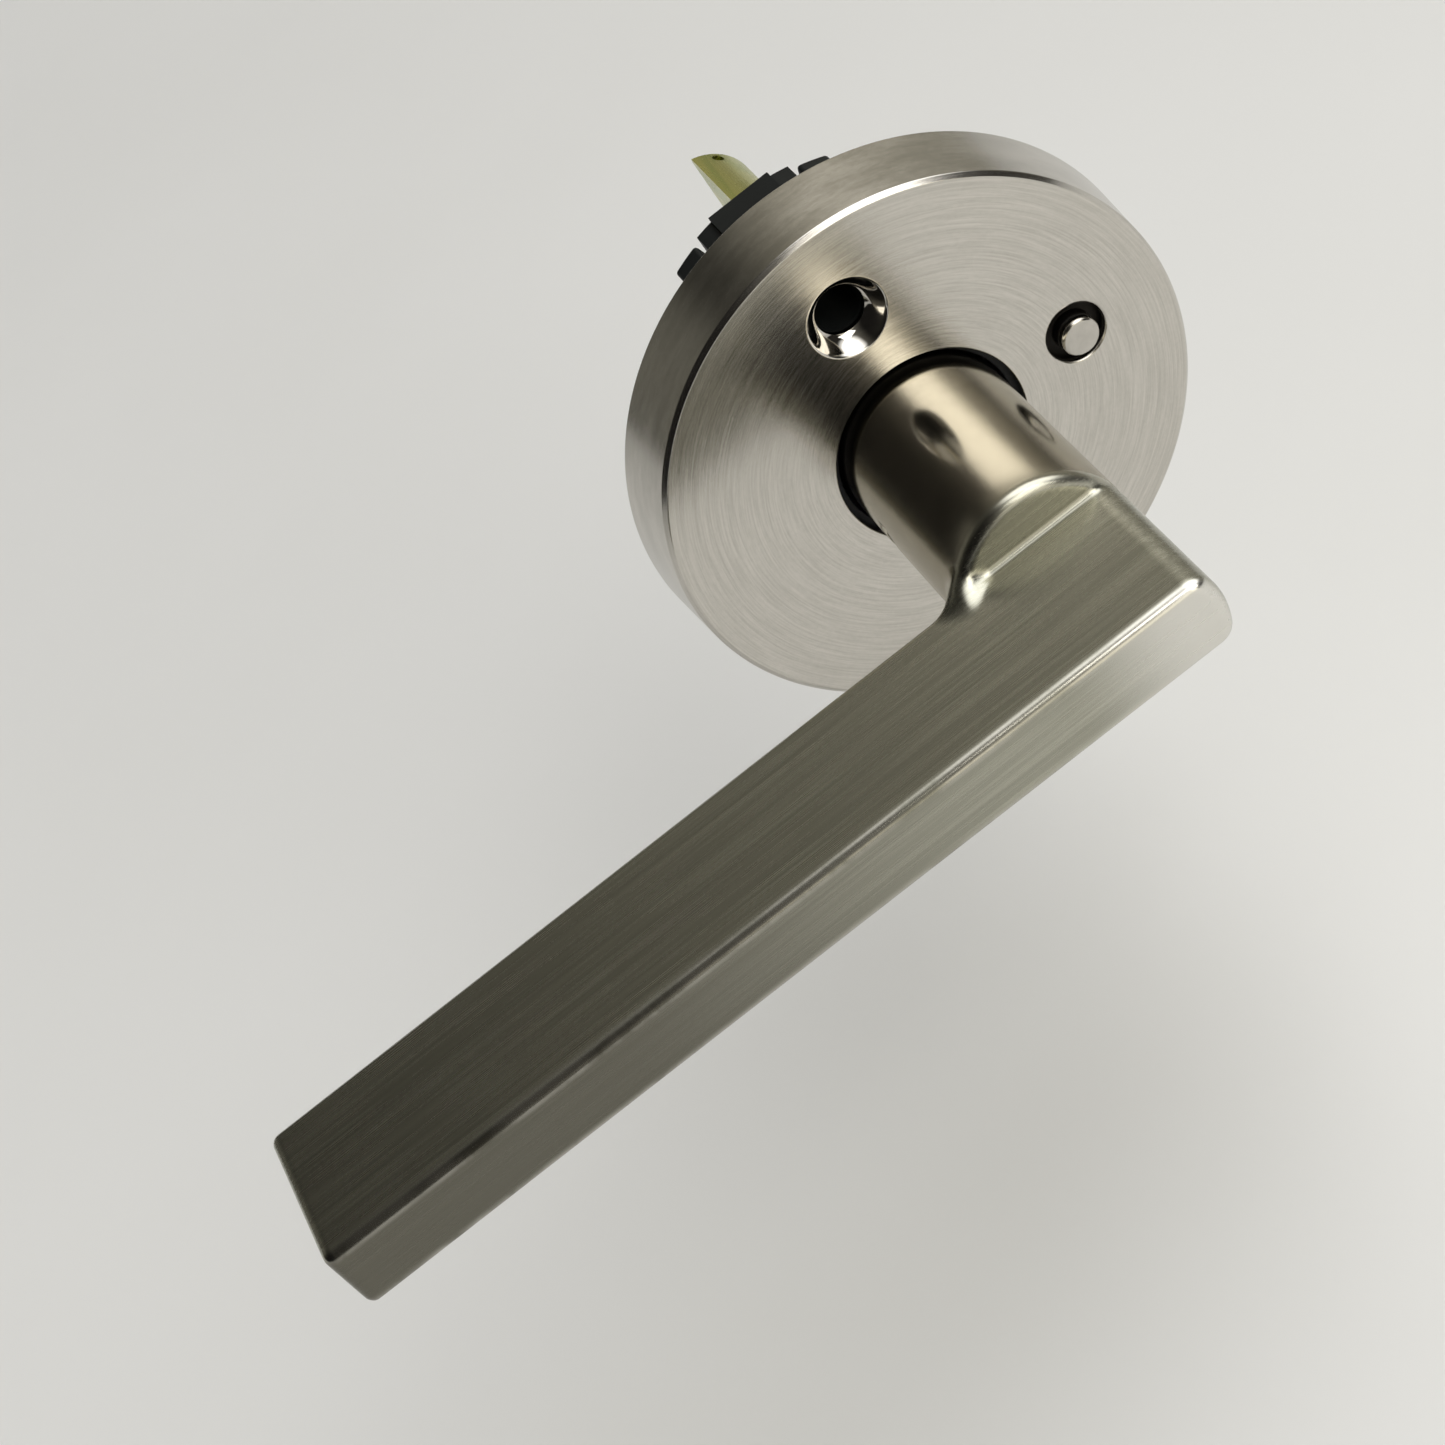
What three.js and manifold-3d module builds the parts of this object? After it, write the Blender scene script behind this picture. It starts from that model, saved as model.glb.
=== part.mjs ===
// Interior half of a privacy lever lockset for a round-bored door.
// Millimetres, +Z up. The origin is on the spindle axis in the plane of the door face, where the rose's
// back rim rests. -Y points into the room and +Y into the door. The lever reaches along -X.
import * as THREE from "three";
import { mergeVertices } from "three/addons/utils/BufferGeometryUtils.js";
import Module from "manifold-3d";

const wasm = await Module();
wasm.setup();

// ---- Driving dimensions ----
const GAP = 0.3; // clearance between neighbouring pieces
const ROUND = 48; // sides on the large turned shapes
const FINE = 24; // sides on the middle-sized round shapes
const SMALL = 16; // sides on the small round shapes

const ROSE_R = 33.35; // at the back rim: a 2-5/8 in rose
const ROSE_FRONT_R = 32.6;
const ROSE_DEPTH = 10;
const ROSE_EDGE = 0.5; // chamfer round the face
const SHEET = 1.1; // thickness of the rose cover
const ROSE_HOLE_R = 11.9;

const SCREW_Z = 21; // each mounting screw's distance from the axis
const SCREW_HOLE_R = 2.95;
const SINK_R = 4.7;
const SINK_DEPTH = 2.8;

const BUTTON_X = 20.3;
const BUTTON_HOLE_R = 3.6;
const BUTTON_R = 2.35;
const BUTTON_RISE = 1.3; // how far the button stands out of the rose

const NECK_R = 10.7;
const NECK_BORE_R = 9.2;
const NECK_START = -2.3;
const NECK_END = -38.8; // the shelf above the blade, in line with the blade's back
const BLADE_FRONT = -59.4;
const BLADE_TIP = -102;
const BLADE_HALF = 4.75; // half the blade's height
const BLADE_EDGE = 1.3; // rounding along the blade
const NECK_FILLET = 4; // between the neck and the blade's back, on the tip's side
const SHELF_FILLET = 1.3; // between the shelf and the blade, above and below
const SET_SCREW_Y = -18.3;

const BORE_RING_R = 26.3; // runs inside the 54 mm bore of the door
const BORE_RING_END = 14;

const HUB_R = 8.9;
const SPINDLE_R = 7.3; // round side of the half-round spindle
const SPINDLE_FLAT = 1.9; // its flat lies this far from the axis
const SPINDLE_START = -20;
const SPINDLE_END = 58.8;
const FOOT_FLAT = 2.5; // the flat steps in here, so that a shoulder rests on the driver
const DRIVER_START = -28;
const DRIVER_END = 4;

const CAM_FRONT = -1.9;
const CAM_BACK = -0.6;
const PLATE_FRONT = -0.3;
const PLATE_BACK = 0.9;
const PLATE_R = 23.9;
const PILLAR_R = 20.5; // the plate screws' distance from the axis
const PILLAR_DEG = 62; // and their angle from the X axis, in each quarter

const WALL_FRONT = -6.7; // the chassis' front wall
const WALL_BACK = -5.4;
const COIL_R = 14.7; // return spring, middle of the wire
const COIL_WIRE = 0.45;

const rad = (degrees) => (degrees * Math.PI) / 180;
const polar = (r, degrees) => [r * Math.cos(rad(degrees)), r * Math.sin(rad(degrees))];

// ---- Solids ----
function solid(geometry) {
  const bare = geometry.index ? geometry.toNonIndexed() : geometry;
  bare.deleteAttribute("normal");
  bare.deleteAttribute("uv");
  const merged = mergeVertices(bare, 1e-4);
  const index = merged.index.array;
  const triVerts = [];
  for (let i = 0; i < index.length; i += 3) {
    const [a, b, c] = [index[i], index[i + 1], index[i + 2]];
    if (a !== b && b !== c && c !== a) triVerts.push(a, b, c);
  }
  const vertProperties = merged.attributes.position.array;
  const mesh = new wasm.Mesh({ numProp: 3, vertProperties, triVerts: new Uint32Array(triVerts) });
  return new wasm.Manifold(mesh);
}

// Turned about the Y axis. The profile is a list of [radius, y], closed by itself.
function turned(profile, sides = ROUND) {
  const area = profile.reduce((sum, [r, y], i) => {
    const [nextR, nextY] = profile[(i + 1) % profile.length];
    return sum + r * nextY - nextR * y;
  }, 0);
  const ordered = area > 0 ? profile : [...profile].reverse();
  const points = [...ordered, ordered[0]].map(([r, y]) => new THREE.Vector2(r, y));
  return solid(new THREE.LatheGeometry(points, sides));
}

const disc = (r, y0, y1, sides) => turned([[0, y0], [r, y0], [r, y1], [0, y1]], sides);
const ring = (inner, outer, y0, y1, sides) =>
  turned([[inner, y0], [outer, y0], [outer, y1], [inner, y1]], sides);
const discAt = (x, z, r, y0, y1, sides = SMALL) => disc(r, y0, y1, sides).translate([x, 0, z]);
const coneAt = (x, z, r0, y0, r1, y1, sides = FINE) =>
  turned([[0, y0], [r0, y0], [r1, y1], [0, y1]], sides).translate([x, 0, z]);

function box(x0, x1, y0, y1, z0, z1) {
  const geometry = new THREE.BoxGeometry(x1 - x0, y1 - y0, z1 - z0);
  return solid(geometry.translate((x0 + x1) / 2, (y0 + y1) / 2, (z0 + z1) / 2));
}

const extruded = (shape, depth, curveSegments) =>
  new THREE.ExtrudeGeometry(shape, { depth, curveSegments, bevelEnabled: false });

// A shape drawn in X and Z, from y0 to y1.
const alongY = (shape, y0, y1, curves = 6) =>
  solid(extruded(shape, y1 - y0, curves).rotateX(Math.PI / 2).translate(0, y1, 0));

// A shape drawn in Y and Z, from x0 to x1.
function alongX(shape, x0, x1, curves = 4) {
  const turn = new THREE.Matrix4().makeBasis(
    new THREE.Vector3(0, 1, 0),
    new THREE.Vector3(0, 0, 1),
    new THREE.Vector3(1, 0, 0),
  );
  return solid(extruded(shape, x1 - x0, curves).applyMatrix4(turn).translate(x0, 0, 0));
}

// A shape drawn in X and Y, from z0 to z1.
const alongZ = (shape, z0, z1, curves = 6) => solid(extruded(shape, z1 - z0, curves).translate(0, 0, z0));

// A rectangle with a radius for each corner: low-low, high-low, high-high, low-high.
function roundedRectangle(u0, v0, u1, v1, [a, b, c, d]) {
  const shape = new THREE.Shape();
  shape.moveTo(u0 + a, v0);
  shape.lineTo(u1 - b, v0);
  shape.absarc(u1 - b, v0 + b, b, -Math.PI / 2, 0);
  shape.lineTo(u1, v1 - c);
  shape.absarc(u1 - c, v1 - c, c, 0, Math.PI / 2);
  shape.lineTo(u0 + d, v1);
  shape.absarc(u0 + d, v1 - d, d, Math.PI / 2, Math.PI);
  shape.lineTo(u0, v0 + a);
  shape.absarc(u0 + a, v0 + a, a, Math.PI, Math.PI * 1.5);
  return shape;
}

// The corner left between two walls and a round of radius r that touches both.
function filletShape(cornerU, cornerV, r, signU, signV) {
  const shape = new THREE.Shape();
  const centreU = cornerU + signU * r;
  const centreV = cornerV + signV * r;
  const steps = 6;
  shape.moveTo(cornerU, cornerV);
  for (let i = 0; i <= steps; i += 1) {
    const angle = ((Math.PI / 2) * i) / steps;
    shape.lineTo(centreU - signU * r * Math.cos(angle), centreV - signV * r * Math.sin(angle));
  }
  return shape;
}

// A ring sector about the axis, drawn in X and Z.
function sector(inner, outer, fromDegrees, toDegrees, y0, y1, curves = 4) {
  const shape = new THREE.Shape();
  shape.absarc(0, 0, outer, rad(fromDegrees), rad(toDegrees), false);
  shape.absarc(0, 0, inner, rad(toDegrees), rad(fromDegrees), true);
  shape.closePath();
  return alongY(shape, y0, y1, curves);
}

function wire(points, r, sides, steps) {
  const shape = new THREE.Shape();
  for (let i = 0; i < sides; i += 1) {
    const [u, v] = polar(r, (360 * i) / sides);
    if (i === 0) shape.moveTo(u, v);
    else shape.lineTo(u, v);
  }
  const extrudePath = new THREE.CatmullRomCurve3(points);
  return solid(new THREE.ExtrudeGeometry(shape, { steps, extrudePath, curveSegments: 1 }));
}

// ---- Materials ----
const finish = (color, roughness, metalness) =>
  new THREE.MeshStandardMaterial({ color, roughness, metalness });
const satinNickel = () => finish(0xa79f92, 0.38, 1);
const polishedNickel = () => finish(0xc9c4ba, 0.18, 1);
const blackNylon = () => finish(0x16171a, 0.55, 0);
const yellowZinc = () => finish(0xa9a25c, 0.4, 1);
const clearZinc = () => finish(0xb4b8ba, 0.35, 1);
const castZinc = () => finish(0x8f9294, 0.5, 1);
const springSteel = () => finish(0x6f7276, 0.3, 1);

// ---- Rose ----
function roseCover() {
  const shell = turned([
    [ROSE_R, 0],
    [ROSE_FRONT_R, -ROSE_DEPTH + ROSE_EDGE],
    [ROSE_FRONT_R - ROSE_EDGE, -ROSE_DEPTH],
    [ROSE_HOLE_R, -ROSE_DEPTH],
    [ROSE_HOLE_R, -ROSE_DEPTH + SHEET],
    [ROSE_FRONT_R - ROSE_EDGE - SHEET / 2, -ROSE_DEPTH + SHEET],
    [ROSE_R - SHEET, 0],
  ], 72);
  let cover = shell;
  const sinkEnd = -ROSE_DEPTH + SINK_DEPTH;
  for (const z of [SCREW_Z, -SCREW_Z]) {
    const dimple = coneAt(0, z, SINK_R + SHEET, -ROSE_DEPTH + SHEET / 2, SCREW_HOLE_R + SHEET, sinkEnd);
    const slope = (SINK_R - SCREW_HOLE_R) / SINK_DEPTH;
    const above = 0.2;
    const sink = coneAt(0, z, SINK_R + slope * above, -ROSE_DEPTH - above, SCREW_HOLE_R, sinkEnd + 0.01);
    cover = cover.add(dimple).subtract(sink);
  }
  return cover.subtract(discAt(BUTTON_X, 0, BUTTON_HOLE_R, -ROSE_DEPTH - 1, -ROSE_DEPTH + 2, FINE));
}

// ---- Chassis ----
const HUB_WALL_INNER = 12.6;
const HUB_WALL_OUTER = 14;
const POST_HALF = 6.5;
const POST_INNER = 16.5;
const POST_FRONT = -6.9;
const RIB_HALF = 4.2;
const TAB_HALF_DEG = 4.3;
const TAB_FROM_POST_DEG = 20.3; // centre to centre
const RIM_INNER = 29.6;
const RIM_OUTER = 31.2;
const WEB_COUNT = 12;
const WEB_HALF_DEG = 1.5;
const BOLT_BORE_R = 1.4; // in the pillars, for the plate screws
const BUTTON_BOSS_R = 5;
const SPRING_WELL_R = 4.3;
const SPRING_WELL_END = -3.8;
const LUG_INNER = 15.6;
const LUG_OUTER = 16.6;
const LUG_HALF_DEG = 5;
const LUG_END = -3.5; // stops short of the spring's rear leg, which turns with the lever
const TAB_INNER = 16.9;
const TAB_OUTER = 18;
const TAB_START = -3.9; // stops short of the spring's front leg, which stays with the chassis

// A post carries a mounting screw through the door and ends flush with the locating ring.
function screwPost(side) {
  const block = box(-POST_HALF, POST_HALF, POST_FRONT, BORE_RING_END, POST_INNER, BORE_RING_R + 1);
  const round = disc(BORE_RING_R, POST_FRONT, BORE_RING_END, ROUND);
  const rib = box(-RIB_HALF, RIB_HALF, WALL_BACK, BORE_RING_END, BORE_RING_R - 0.8, BORE_RING_R + 0.3);
  const post = block.intersect(round).add(rib);
  return side > 0 ? post : post.mirror([0, 0, 1]);
}

// Two tabs beside each post finish the locating ring.
function ringTabs(side) {
  const [left, right] = [-1, 1].map((hand) => {
    const from = 90 * side + hand * TAB_FROM_POST_DEG - TAB_HALF_DEG;
    const to = from + 2 * TAB_HALF_DEG;
    return sector(BORE_RING_R - 2, BORE_RING_R, from, to, WALL_BACK - 0.1, BORE_RING_END - 0.5);
  });
  return left.add(right);
}

// Thin webs stiffen the rim all round.
function webs() {
  const step = 360 / WEB_COUNT;
  const made = Array.from({ length: WEB_COUNT }, (_, i) => {
    const middle = step * (i + 0.5);
    const [from, to] = [middle - WEB_HALF_DEG, middle + WEB_HALF_DEG];
    return sector(24.6, RIM_INNER + 0.2, from, to, WALL_BACK - 0.1, -1.2, 2);
  });
  return made.reduce((all, web) => all.add(web));
}

// The fixed lug that one leg of the return spring pushes on.
const springLug = () =>
  sector(LUG_INNER, LUG_OUTER, 180 - LUG_HALF_DEG, 180 + LUG_HALF_DEG, WALL_BACK - 0.1, LUG_END, 2);

function chassis() {
  const wall = ring(HUB_WALL_INNER, RIM_OUTER, WALL_FRONT, WALL_BACK);
  const rim = ring(RIM_INNER, RIM_OUTER, WALL_FRONT + 0.1, -GAP);
  const hub = ring(HUB_WALL_INNER, HUB_WALL_OUTER, -7.6, -2.6);
  const boss = discAt(BUTTON_X, 0, BUTTON_BOSS_R, WALL_FRONT, -2.3, FINE);
  let body = wall.add(rim).add(hub).add(webs()).add(boss).add(springLug());
  for (const side of [1, -1]) body = body.add(screwPost(side)).add(ringTabs(side));
  for (const [x, z] of pillarPlaces()) body = body.add(discAt(x, z, 2.4, WALL_BACK - 0.1, CAM_BACK));
  body = body
    .subtract(disc(HUB_WALL_INNER, -9, 20, ROUND))
    .subtract(ring(HUB_WALL_OUTER, 15.5, WALL_BACK, 1, ROUND))
    .subtract(discAt(BUTTON_X, 0, BUTTON_R + GAP, -8, 0))
    .subtract(discAt(BUTTON_X, 0, SPRING_WELL_R, -8, SPRING_WELL_END, FINE));
  for (const z of [SCREW_Z, -SCREW_Z]) {
    body = body.subtract(discAt(0, z, SCREW_HOLE_R, -8, BORE_RING_END + 1, FINE));
  }
  for (const [x, z] of pillarPlaces()) body = body.subtract(discAt(x, z, BOLT_BORE_R, -4.6, 0));
  return body;
}

const pillarPlaces = () => [1, 2, 3, 4].map((quarter) => {
  const angle = quarter % 2 === 1 ? PILLAR_DEG : 180 - PILLAR_DEG;
  return polar(PILLAR_R, quarter <= 2 ? angle : -angle);
});

function neckBushing() {
  const inner = NECK_R + GAP;
  return turned([
    [inner, -8.6],
    [HUB_WALL_OUTER - 0.2, -8.6],
    [HUB_WALL_OUTER - 0.2, -7.9],
    [HUB_WALL_INNER - GAP, -7.9],
    [HUB_WALL_INNER - GAP, -2.7],
    [inner, -2.7],
  ]);
}

// Two turns of round wire with a leg at each end, one on each side of the chassis lug and the cam's tab.
function returnSpring() {
  const legDegrees = LUG_HALF_DEG + 3;
  const bendDegrees = 5;
  const turnSteps = 40;
  const yStart = -4.75;
  const yEnd = -2.7;
  const place = (r, degrees, y) => {
    const [x, z] = polar(r, degrees);
    return new THREE.Vector3(x, y, z);
  };
  const from = 180 + legDegrees + bendDegrees;
  const to = 180 - legDegrees - bendDegrees + 720;
  const points = [place(18.4, 180 + legDegrees, yStart), place(16.1, 180 + legDegrees, yStart)];
  for (let i = 0; i <= turnSteps; i += 1) {
    const share = i / turnSteps;
    points.push(place(COIL_R, from + (to - from) * share, yStart + (yEnd - yStart) * share));
  }
  points.push(place(16.1, 180 - legDegrees, yEnd), place(18.4, 180 - legDegrees, yEnd));
  return wire(points, COIL_WIRE, 6, 64);
}

function coverPlate() {
  let plate = disc(PLATE_R, PLATE_FRONT, PLATE_BACK).subtract(disc(HUB_R + 0.4, -2, 2, ROUND));
  const slot = POST_HALF + 0.4;
  for (const side of [1, -1]) {
    const ends = [side * (POST_INNER - 0.4), side * 30].sort((a, b) => a - b);
    plate = plate.subtract(box(-slot, slot, -2, 2, ends[0], ends[1]));
  }
  for (const [x, z] of pillarPlaces()) plate = plate.subtract(discAt(x, z, BOLT_BORE_R, -2, 2));
  return plate.subtract(discAt(BUTTON_X, 0, 2.2, -2, 2));
}

// A pan-head screw with a cross recess.
function plateScrew(x, z) {
  const seat = PLATE_BACK + GAP;
  const top = PLATE_BACK + 1.6;
  const shank = discAt(x, z, 1.1, -4.2, seat + 0.2, 10);
  const head = turned([[0, seat], [2.2, seat], [2.1, top - 0.5], [1.4, top], [0, top]], 14);
  const [slotLong, slotThin] = [1.3, 0.25];
  const across = box(x - slotLong, x + slotLong, top - 0.6, top + 1, z - slotThin, z + slotThin);
  const upright = box(x - slotThin, x + slotThin, top - 0.6, top + 1, z - slotLong, z + slotLong);
  return shank.add(head.translate([x, 0, z])).subtract(across).subtract(upright);
}

// ---- Lever ----
function bladeSolid() {
  const e = BLADE_EDGE;
  const section = roundedRectangle(BLADE_FRONT, -BLADE_HALF, NECK_END, BLADE_HALF, [e, e, e, e]);
  const plan = roundedRectangle(BLADE_TIP, BLADE_FRONT, NECK_R, NECK_END, [1.5, 2.2, 0.01, 1.5]);
  return alongX(section, BLADE_TIP - 1, NECK_R + 1)
    .intersect(alongY(bladeElevation(), BLADE_FRONT - 1, NECK_END + 1, 6))
    .intersect(alongZ(plan, -BLADE_HALF - 1, BLADE_HALF + 1));
}

// Seen from the room: the head ends in the neck's own circle, the tip is square with round corners.
function bladeElevation() {
  const headRound = 1.7;
  const tipRound = 1.2;
  const centreZ = BLADE_HALF - headRound;
  const centreX = Math.sqrt((NECK_R - headRound) ** 2 - centreZ ** 2);
  const swing = Math.atan2(centreZ, centreX);
  const shape = new THREE.Shape();
  shape.moveTo(BLADE_TIP + tipRound, -BLADE_HALF);
  shape.lineTo(centreX, -BLADE_HALF);
  shape.absarc(centreX, -centreZ, headRound, -Math.PI / 2, -swing);
  shape.absarc(0, 0, NECK_R, -swing, swing);
  shape.absarc(centreX, centreZ, headRound, swing, Math.PI / 2);
  shape.lineTo(BLADE_TIP + tipRound, BLADE_HALF);
  shape.absarc(BLADE_TIP + tipRound, BLADE_HALF - tipRound, tipRound, Math.PI / 2, Math.PI);
  shape.absarc(BLADE_TIP + tipRound, tipRound - BLADE_HALF, tipRound, Math.PI, Math.PI * 1.5);
  return shape;
}

function neckSolid() {
  const rimRound = 1.3;
  const steps = 5;
  const profile = [[0, NECK_START], [NECK_R, NECK_START]];
  for (let i = 0; i <= steps; i += 1) {
    const angle = ((Math.PI / 2) * i) / steps;
    profile.push([
      NECK_R - rimRound + rimRound * Math.cos(angle),
      NECK_END + rimRound - rimRound * Math.sin(angle),
    ]);
  }
  profile.push([0, NECK_END]);
  const head = disc(NECK_R, NECK_END - 1.5, NECK_END + 3).intersect(
    box(-NECK_R, NECK_R, NECK_END - 1.5, NECK_END + 3, 0.8 - BLADE_HALF, BLADE_HALF - 0.8),
  );
  return turned(profile).add(head);
}

// The round that leads from the neck to the blade's back, with a block behind it that reaches the neck.
function neckFillet() {
  const half = BLADE_HALF - 0.4;
  const shape = filletShape(-NECK_R, NECK_END, NECK_FILLET, -1, 1);
  const filler = box(-NECK_R - 0.01, -NECK_R + 3, NECK_END - 1, NECK_END + NECK_FILLET, -half, half);
  return alongZ(shape, -half, half).add(filler);
}

// The round between the shelf and the blade, above (side 1) or below (side -1).
function shelfFillet(side) {
  const shape = filletShape(NECK_END, side * BLADE_HALF, SHELF_FILLET, -1, side);
  return alongX(shape, -9, 9).intersect(disc(NECK_R - 0.4, NECK_END - 3, NECK_END));
}

// A round hole from the -X side into the neck, at the set screw.
const setScrewHole = (r, from, to) =>
  disc(r, from, to, SMALL).rotate([0, 0, -90]).translate([0, SET_SCREW_Y, 0]);

function leverHandle() {
  const bore = turned([[0, -30.5], [NECK_BORE_R - 1, -30.5], [NECK_BORE_R, -29.5], [NECK_BORE_R, 0], [0, 0]]);
  return bladeSolid()
    .add(neckSolid())
    .add(neckFillet())
    .add(shelfFillet(1))
    .add(shelfFillet(-1))
    .subtract(bore)
    .subtract(setScrewHole(1.6, -NECK_R - 2, -NECK_BORE_R + 1));
}

function leverSetScrew() {
  const screw = disc(1.3, -10.2, -7.2, SMALL);
  const socket = disc(0.7, -12, -9.2, 6);
  return screw.subtract(socket).rotate([0, 0, -90]).translate([0, SET_SCREW_Y, 0]);
}

// ---- Drive ----
function halfRound(r, flat, y0, y1, curves = 16) {
  const end = Math.acos(flat / r);
  const shape = new THREE.Shape();
  shape.absarc(0, 0, r, -end, end);
  shape.closePath();
  return alongY(shape, y0, y1, curves);
}

const PIN_R = 1.2;
const PIN_X = 4.6;
const PIN_Y = -10;
const PIN_HALF = 6.7;
const crossPin = (r, half) => disc(r, -half, half, SMALL).rotate([90, 0, 0]).translate([PIN_X, PIN_Y, 0]);
const spindlePin = () => crossPin(PIN_R, PIN_HALF);

function spindleDriver() {
  const keys = box(-10.2, 10.2, CAM_FRONT, CAM_BACK, -1.5, 1.5);
  const groove = ring(8.2, HUB_R + 1, 2, 3.1, ROUND);
  return disc(HUB_R, DRIVER_START, DRIVER_END, ROUND)
    .add(keys)
    .subtract(groove)
    .subtract(halfRound(SPINDLE_R + GAP, FOOT_FLAT - GAP, SPINDLE_START - GAP, DRIVER_END + 1))
    .subtract(crossPin(PIN_R + GAP, 9))
    .subtract(setScrewHole(1.6, -HUB_R - 1, -6.8));
}

function spindle() {
  const taper = 1;
  const shoulder = DRIVER_END + GAP;
  const bar = halfRound(SPINDLE_R, SPINDLE_FLAT, shoulder, SPINDLE_END);
  const foot = halfRound(SPINDLE_R, FOOT_FLAT, SPINDLE_START, shoulder + 1);
  const nose = turned([
    [0, SPINDLE_START - 1],
    [SPINDLE_R + 1, SPINDLE_START - 1],
    [SPINDLE_R + 1, SPINDLE_END - taper - 1],
    [SPINDLE_R - taper, SPINDLE_END + 0.01],
    [0, SPINDLE_END + 0.01],
  ]);
  const dimple = disc(0.8, SPINDLE_R - 0.8, SPINDLE_R + 1, 12)
    .rotate([90, 0, 0])
    .rotate([0, 40, 0])
    .translate([0, SPINDLE_END - 2.4, 0]);
  return bar.add(foot).intersect(nose).subtract(dimple).subtract(crossPin(PIN_R + GAP, 9));
}

// The cam has an ear with the locking hole toward the button and a tab beside the spring's rear leg.
function camPlate() {
  const earHalf = 7;
  const [tabFrom, tabTo] = [180 - LUG_HALF_DEG, 180 + LUG_HALF_DEG];
  return disc(13, CAM_FRONT, CAM_BACK, ROUND)
    .add(sector(10, 23, -earHalf, earHalf, CAM_FRONT, CAM_BACK, 4))
    .add(sector(10, TAB_OUTER, tabFrom, tabTo, CAM_FRONT, CAM_BACK, 4))
    .add(sector(TAB_INNER, TAB_OUTER, tabFrom, tabTo, TAB_START, CAM_BACK, 4))
    .subtract(disc(HUB_R + GAP, -3, 0, ROUND))
    .subtract(box(-10.5, 10.5, -3, 0, -1.8, 1.8))
    .subtract(discAt(BUTTON_X, 0, 1.9, -3, 0));
}

// A flat ring pressed into three waves.
function waveWasher() {
  const inner = 9.5;
  const outer = 13;
  const lift = 0.22;
  const thickness = 0.3;
  const profile = [[inner, 0], [outer, 0], [outer, thickness], [inner, thickness], [inner, 0]];
  const geometry = new THREE.LatheGeometry(profile.map(([r, y]) => new THREE.Vector2(r, y)), 48);
  const position = geometry.attributes.position;
  for (let i = 0; i < position.count; i += 1) {
    const angle = Math.atan2(position.getZ(i), position.getX(i));
    position.setY(i, position.getY(i) + 1.38 + lift * Math.cos(3 * angle));
  }
  return solid(geometry);
}

// An open ring with an eye at each end for pliers.
function retainingRing() {
  const [front, back] = [2.15, 2.95];
  const outer = 11.2;
  const gapHalf = 18;
  const eyeFromEnd = 4;
  let clip = sector(8.5, outer, -90 + gapHalf, 270 - gapHalf, front, back, 22);
  for (const degrees of [-90 + gapHalf + eyeFromEnd, 270 - gapHalf - eyeFromEnd]) {
    const [x, z] = polar(outer, degrees);
    clip = clip.add(discAt(x, z, 1.5, front, back, 12)).subtract(discAt(x, z, 0.7, 1, 4, 8));
  }
  return clip;
}

// ---- Privacy button ----
const COLLAR_R = 4;
const COLLAR_FRONT = -8.6;
const COLLAR_BACK = -7.8;
const BUTTON_END = -4.6;

function privacyButton() {
  const tip = -ROSE_DEPTH - BUTTON_RISE;
  const edge = 0.4;
  return turned([
    [0, tip],
    [BUTTON_R - edge, tip],
    [BUTTON_R, tip + edge],
    [BUTTON_R, COLLAR_FRONT],
    [COLLAR_R, COLLAR_FRONT],
    [COLLAR_R, COLLAR_BACK],
    [BUTTON_R, COLLAR_BACK],
    [BUTTON_R, BUTTON_END],
    [1.2, BUTTON_END],
    [1.2, BUTTON_END - 2],
    [0, BUTTON_END - 2],
  ], FINE).translate([BUTTON_X, 0, 0]);
}

const lockPin = () => turned([
  [0, BUTTON_END - 1.7],
  [0.9, BUTTON_END - 1.7],
  [0.9, BUTTON_END + GAP],
  [1.6, BUTTON_END + GAP],
  [1.6, -2.6],
  [1.3, -2.25],
  [0, -2.25],
], SMALL).translate([BUTTON_X, 0, 0]);

function buttonSpring() {
  const turns = 3.5;
  const r = 3.35;
  const wireR = 0.25;
  const start = COLLAR_BACK + GAP + wireR;
  const end = SPRING_WELL_END - GAP - wireR;
  const steps = 48;
  const points = [];
  for (let i = 0; i <= steps; i += 1) {
    const share = i / steps;
    const [x, z] = polar(r, 360 * turns * share);
    points.push(new THREE.Vector3(BUTTON_X + x, start + (end - start) * share, z));
  }
  return wire(points, wireR, 6, steps);
}

// ---- Assembly ----
const lockset = new THREE.Group();

function node(name, made, material) {
  const mesh = made.getMesh();
  const geometry = new THREE.BufferGeometry();
  geometry.setAttribute("position", new THREE.BufferAttribute(new Float32Array(mesh.vertProperties), 3));
  geometry.setIndex(new THREE.BufferAttribute(new Uint32Array(mesh.triVerts), 1));
  const flat = geometry.toNonIndexed();
  flat.computeVertexNormals();
  const item = new THREE.Mesh(flat, material);
  item.name = name;
  lockset.add(item);
}

node("rose_cover", roseCover(), satinNickel());
node("chassis", chassis(), blackNylon());
node("neck_bushing", neckBushing(), blackNylon());
node("return_spring", returnSpring(), springSteel());
node("cover_plate", coverPlate(), clearZinc());
pillarPlaces().forEach(([x, z], i) => node(`plate_screw_${i + 1}`, plateScrew(x, z), clearZinc()));
node("wave_washer", waveWasher(), springSteel());
node("lever_handle", leverHandle(), satinNickel());
node("lever_set_screw", leverSetScrew(), springSteel());
node("spindle_driver", spindleDriver(), castZinc());
node("cam_plate", camPlate(), clearZinc());
node("retaining_ring", retainingRing(), springSteel());
node("spindle", spindle(), yellowZinc());
node("spindle_pin", spindlePin(), springSteel());
node("privacy_button", privacyButton(), polishedNickel());
node("lock_pin", lockPin(), clearZinc());
node("button_spring", buttonSpring(), springSteel());

export default lockset;
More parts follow.
